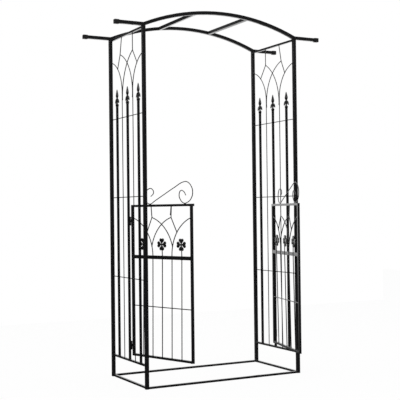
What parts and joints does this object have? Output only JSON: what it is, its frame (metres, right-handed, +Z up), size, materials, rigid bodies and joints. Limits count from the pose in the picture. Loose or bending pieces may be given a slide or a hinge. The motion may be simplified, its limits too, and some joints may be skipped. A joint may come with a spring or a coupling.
{
  "type": "garden arch with gate",
  "caption": "Garden arch of black square tube with a shallow curved top, side panels of spear bars and wire tracery, and a pair of small gates with clovers and scroll crests.",
  "frame": {"origin": "middle of the front left post's foot, on the ground", "axes": "+X across the walkway from the left posts to the right ones, +Y along the walkway from the front, where the gates open, to the back, +Z up"},
  "size_m": [1.304, 0.7089, 2.0645],
  "materials": {
    "black_coat": "semi-gloss black powder coat",
    "black_plastic": "satin black moulded plastic"
  },
  "bodies": {
    "frame": {"front_arch_beam": "black_coat", "front_ground_bar": "black_coat", "front_left_post": "black_coat", "front_left_end_cap": "black_plastic", "front_right_post": "black_coat", "front_right_end_cap": "black_plastic", "back_arch_beam": "black_coat", "back_ground_bar": "black_coat", "back_left_post": "black_coat", "back_left_end_cap": "black_plastic", "back_right_post": "black_coat", "back_right_end_cap": "black_plastic", "left_crossbar": "black_coat", "left_ground_bar": "black_coat", "left_bottom_side_rail": "black_coat", "left_top_side_rail": "black_coat", "left_front_spear_bar": "black_coat", "left_front_finial": "black_coat", "left_middle_spear_bar": "black_coat", "left_middle_finial": "black_coat", "left_back_spear_bar": "black_coat", "left_back_finial": "black_coat", "left_side_tracery": "black_coat", "left_gate_lower_fixed_hinge": "black_coat", "left_gate_upper_fixed_hinge": "black_coat", "right_crossbar": "black_coat", "right_ground_bar": "black_coat", "right_bottom_side_rail": "black_coat", "right_top_side_rail": "black_coat", "right_front_spear_bar": "black_coat", "right_front_finial": "black_coat", "right_middle_spear_bar": "black_coat", "right_middle_finial": "black_coat", "right_back_spear_bar": "black_coat", "right_back_finial": "black_coat", "right_side_tracery": "black_coat", "right_gate_lower_fixed_hinge": "black_coat", "right_gate_upper_fixed_hinge": "black_coat"},
    "left_gate": {"left_gate_hinge_stile": "black_coat", "left_gate_free_stile": "black_coat", "left_gate_top_rail": "black_coat", "left_gate_outer_rail_plug": "black_plastic", "left_gate_inner_rail_plug": "black_plastic", "left_gate_bottom_rail": "black_coat", "left_gate_middle_rail": "black_coat", "left_gate_tracery": "black_coat", "left_gate_crest": "black_coat", "left_gate_lower_moving_hinge": "black_coat", "left_gate_upper_moving_hinge": "black_coat"},
    "right_gate": {"right_gate_hinge_stile": "black_coat", "right_gate_free_stile": "black_coat", "right_gate_top_rail": "black_coat", "right_gate_outer_rail_plug": "black_plastic", "right_gate_inner_rail_plug": "black_plastic", "right_gate_bottom_rail": "black_coat", "right_gate_middle_rail": "black_coat", "right_gate_tracery": "black_coat", "right_gate_crest": "black_coat", "right_gate_lower_moving_hinge": "black_coat", "right_gate_upper_moving_hinge": "black_coat"}
  },
  "joints": [
    {"name": "left_gate_hinge", "type": "hinge", "parent": "frame", "child": "left_gate", "pos_m": [0.0105, 0.2237, 0.5525], "axis": [0, 0, -1], "range_deg": [-70.5, 19.5]},
    {"name": "right_gate_hinge", "type": "hinge", "parent": "frame", "child": "right_gate", "pos_m": [0.9555, 0.2237, 0.5525], "axis": [0, 0, 1], "range_deg": [-76, 14]}
  ]
}
